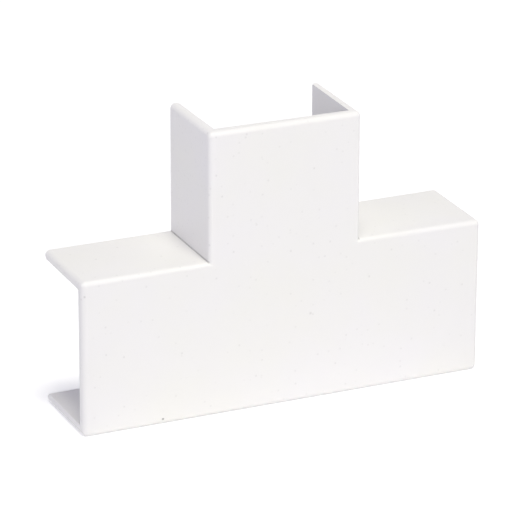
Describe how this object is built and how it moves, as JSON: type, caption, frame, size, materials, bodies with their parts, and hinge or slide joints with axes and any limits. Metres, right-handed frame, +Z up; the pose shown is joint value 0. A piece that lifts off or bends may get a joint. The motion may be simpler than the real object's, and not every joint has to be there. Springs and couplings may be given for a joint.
{
  "type": "trunking tee fitting",
  "caption": "Flat tee cover for mini trunking: a T-shaped front plate with side walls, open at the back and at its three mouths.",
  "frame": {"origin": "under the middle of the footprint, on the outer face of the run's long wall, which the fitting stands on", "axes": "+X along the run of trunking, +Y from the front plate to the open back that lies on the building's wall, +Z up the branch"},
  "size_m": [0.0772, 0.0174, 0.0531],
  "materials": {
    "white_pvc": "smooth moulded, low sheen"
  },
  "bodies": {
    "root": {"tee_body": "white_pvc"}
  },
  "joints": []
}
